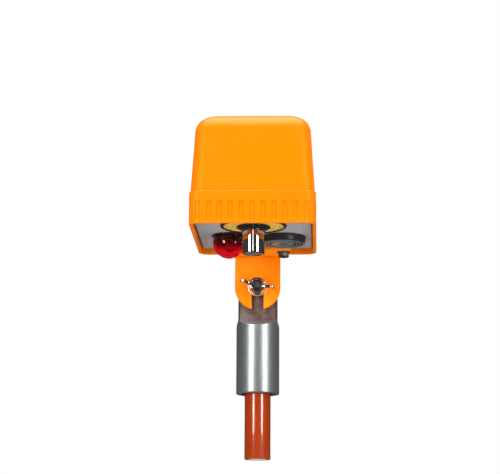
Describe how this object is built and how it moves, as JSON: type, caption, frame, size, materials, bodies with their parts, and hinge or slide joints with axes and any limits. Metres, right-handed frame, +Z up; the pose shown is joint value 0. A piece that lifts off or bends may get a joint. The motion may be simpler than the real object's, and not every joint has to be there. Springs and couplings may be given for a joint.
{
  "type": "hot stick voltage detector head",
  "caption": "Hooded high-voltage proximity detector with selector knob, red lamp and sounder, clamped by a slotted tongue and wing nut to the flat end of an insulating pole.",
  "frame": {"origin": "centre of the pole's cut lower end, on the pole's axis", "axes": "+Z up along the pole, -Y towards the front of the detector, +X to the right seen from the front"},
  "size_m": [0.114, 0.1818, 0.3009],
  "materials": {
    "fibreglass_orange": "glossy resin coat over fibre",
    "foam_core": "rigid foam",
    "black_plastic": "moulded",
    "bright_steel": "zinc plated",
    "satin_metal": "satin, turned and milled",
    "nickel_casting": "bright plated casting",
    "tongue_orange": "smooth gloss coat",
    "hood_orange": "fine satin moulding",
    "panel_grey": "fine moulded texture",
    "gasket_rubber": "moulded",
    "dial_yellow": "printed plate",
    "black_gloss": "polished",
    "knob_chrome": "mirror plated",
    "lens_red": "clear tinted, polished",
    "white_plastic": "moulded",
    "led_red": "clear epoxy",
    "sounder_black": "satin moulding",
    "brass_disc": "bare",
    "board_green": "solder mask",
    "capacitor_blue": "sleeved",
    "resistor_tan": "lacquered",
    "battery_case": "plain lacquered can",
    "copper_plate": "bare copper",
    "lead_insulation": "insulated wire"
  },
  "bodies": {
    "pole": {"pole_tube": "fibreglass_orange", "pole_core": "foam_core", "pole_bush": "black_plastic", "cross_pin": "bright_steel", "pole_head": "satin_metal", "pivot_bolt": "bright_steel"},
    "pivot_washer": {"flat_washer": "bright_steel"},
    "detector": {"tongue_bracket": "tongue_orange", "bracket_bolts": "bright_steel", "bracket_washers": "bright_steel", "bracket_nuts": "bright_steel", "hood_shell": "hood_orange", "base_panel": "panel_grey", "panel_screws": "bright_steel", "panel_gasket": "gasket_rubber", "dial_plate": "dial_yellow", "dial_rim": "black_plastic", "switch_body": "black_plastic", "switch_nut": "bright_steel", "lamp_lens": "lens_red", "lamp_bezel": "black_gloss", "lamp_holder": "white_plastic", "lamp_led": "led_red", "lamp_nut": "black_plastic", "sounder_bezel": "sounder_black", "sounder_housing": "black_plastic", "sounder_disc": "brass_disc", "sounder_nut": "black_plastic", "circuit_board": "board_green", "board_pillars": "brass_disc", "board_screws": "bright_steel", "board_chips": "black_plastic", "board_capacitors": "capacitor_blue", "board_resistors": "resistor_tan", "battery_tray": "black_plastic", "battery": "battery_case", "battery_snap": "black_plastic", "antenna_plate": "copper_plate", "antenna_posts": "white_plastic", "antenna_screws": "bright_steel", "sounder_leads": "lead_insulation", "lamp_leads": "lead_insulation", "switch_leads": "lead_insulation", "battery_leads": "lead_insulation", "antenna_lead": "lead_insulation"},
    "selector": {"switch_shaft": "bright_steel", "knob_skirt": "black_gloss", "knob_cap": "knob_chrome", "knob_grub_screw": "bright_steel"},
    "clamp_washer": {"lock_washer": "bright_steel"},
    "clamp_nut": {"wing_nut": "nickel_casting"}
  },
  "joints": [
    {"name": "head_tilt", "type": "hinge", "parent": "pole", "child": "pivot_washer", "pos_m": [0, -0.0154, 0.165], "axis": [0, -1, 0], "range_deg": [-90, 90]},
    {"name": "head_lift", "type": "slide", "parent": "pivot_washer", "child": "detector", "axis": [0, 0, 1], "range_m": [0, 0.027]},
    {"name": "selector_turn", "type": "hinge", "parent": "detector", "child": "selector", "pos_m": [0, -0.125, 0.19], "axis": [0, 0, 1], "range_deg": [-120, 120]},
    {"name": "nut_turn", "type": "hinge", "parent": "clamp_washer", "child": "clamp_nut", "pos_m": [0, -0.024, 0.165], "axis": [0, -1, 0], "range_deg": [0, 721]},
    {"name": "nut_travel", "type": "slide", "parent": "pole", "child": "clamp_washer", "axis": [0, -1, 0], "range_m": [0, 0.003]}
  ],
  "couplings": [
    {"joint": "nut_turn", "follows": "nut_travel", "rad_per_m": 4188.8}
  ]
}
